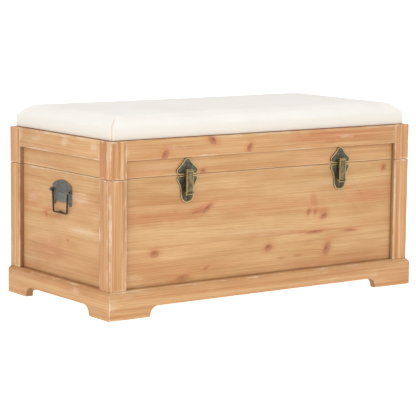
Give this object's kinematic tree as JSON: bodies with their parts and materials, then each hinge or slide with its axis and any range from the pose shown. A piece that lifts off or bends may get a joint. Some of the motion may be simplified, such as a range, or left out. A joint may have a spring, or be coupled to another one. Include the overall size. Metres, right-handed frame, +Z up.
{
  "type": "storage bench",
  "caption": "Wooden storage bench: panelled chest on a bracket-foot plinth, hinged lid with a padded seat, toggle latches on the front and a drop handle on each end.",
  "frame": {"origin": "on the floor, under the middle of the plinth", "axes": "+X along the bench towards its right end seen from the front, +Y towards the back with the hinges, +Z up"},
  "size_m": [0.8, 0.4056, 0.404],
  "materials": {
    "wood": "waxed fir, rubbed pale along its edges",
    "inner_wood": "unstained softwood",
    "cover": "plain cream woven cotton",
    "foam": "upholstery foam",
    "bronze": "antiqued, dark in the hollows",
    "brass": "antiqued, rubbed bright",
    "steel": "zinc plated"
  },
  "bodies": {
    "carcass": {"plinth_front": "wood", "plinth_back": "wood", "plinth_left": "wood", "plinth_right": "wood", "base_battens": "inner_wood", "body_front_panel": "wood", "body_back_panel": "wood", "body_left_panel": "wood", "body_right_panel": "wood", "chest_floor": "inner_wood", "corner_posts": "inner_wood", "front_stile_left": "wood", "front_stile_right": "wood", "left_stile_front": "wood", "left_stile_rear": "wood", "right_stile_front": "wood", "right_stile_rear": "wood", "left_latch_base": "bronze", "right_latch_base": "bronze", "latch_rivets": "brass", "left_handle_plate": "bronze", "right_handle_plate": "bronze", "body_nails": "brass", "hinge_body_leaves": "steel", "hinge_pins": "steel", "hinge_body_screws": "steel", "stay_body_pivot": "steel"},
    "lid": {"lid_top_board": "wood", "lid_front_panel": "wood", "lid_back_panel": "wood", "lid_left_panel": "wood", "lid_right_panel": "wood", "lid_rail_front": "wood", "lid_rail_left": "wood", "lid_rail_right": "wood", "lid_front_stile_left": "wood", "lid_front_stile_right": "wood", "lid_left_stile_front": "wood", "lid_left_stile_rear": "wood", "lid_right_stile_front": "wood", "lid_right_stile_rear": "wood", "cushion_board": "inner_wood", "cushion_foam": "foam", "cushion_cover": "cover", "left_latch_keeper": "bronze", "right_latch_keeper": "bronze", "keeper_nails": "brass", "hinge_lid_leaves": "steel", "hinge_lid_screws": "steel", "stay_lid_pivot": "steel"},
    "left_lever": {"left_latch_lever": "bronze"},
    "right_lever": {"right_latch_lever": "bronze"},
    "left_claw": {"left_latch_claw": "brass"},
    "right_claw": {"right_latch_claw": "brass"},
    "left_bail": {"left_handle_bail": "bronze"},
    "right_bail": {"right_handle_bail": "bronze"},
    "stay_lower": {"stay_lower_link": "steel", "stay_elbow_rivet": "steel"},
    "stay_upper": {"stay_upper_link": "steel"}
  },
  "joints": [
    {"name": "lid_hinge", "type": "hinge", "parent": "carcass", "child": "lid", "pos_m": [0, 0.2029, 0.2815], "axis": [-1, 0, 0], "range_deg": [0, 95]},
    {"name": "stay_foot", "type": "hinge", "parent": "carcass", "child": "stay_lower", "pos_m": [0.3695, 0.098, 0.117], "axis": [-1, 0, 0], "range_deg": [0, 95]},
    {"name": "stay_elbow", "type": "hinge", "parent": "stay_lower", "child": "stay_upper", "pos_m": [0.3678, -0.1065, 0.1586], "axis": [-1, 0, 0], "range_deg": [-95, 0]},
    {"name": "left_lever_pivot", "type": "hinge", "parent": "carcass", "child": "left_lever", "pos_m": [-0.202, -0.193, 0.2455], "axis": [1, 0, 0], "range_deg": [0, 150]},
    {"name": "left_claw_pivot", "type": "hinge", "parent": "left_lever", "child": "left_claw", "pos_m": [-0.202, -0.193, 0.2425], "axis": [1, 0, 0], "range_deg": [-127.5, 0]},
    {"name": "left_bail_pivot", "type": "hinge", "parent": "carcass", "child": "left_bail", "pos_m": [-0.3905, 0, 0.2405], "axis": [0, 1, 0], "range_deg": [0, 100]},
    {"name": "right_lever_pivot", "type": "hinge", "parent": "carcass", "child": "right_lever", "pos_m": [0.202, -0.193, 0.2455], "axis": [1, 0, 0], "range_deg": [0, 150]},
    {"name": "right_claw_pivot", "type": "hinge", "parent": "right_lever", "child": "right_claw", "pos_m": [0.202, -0.193, 0.2425], "axis": [1, 0, 0], "range_deg": [-127.5, 0]},
    {"name": "right_bail_pivot", "type": "hinge", "parent": "carcass", "child": "right_bail", "pos_m": [0.3905, 0, 0.2405], "axis": [0, -1, 0], "range_deg": [0, 100]}
  ],
  "couplings": [
    {"joint": "stay_foot", "follows": "lid_hinge", "ratio": 1},
    {"joint": "stay_elbow", "follows": "lid_hinge", "ratio": -1},
    {"joint": "left_claw_pivot", "follows": "left_lever_pivot", "ratio": -0.85},
    {"joint": "right_claw_pivot", "follows": "right_lever_pivot", "ratio": -0.85}
  ]
}
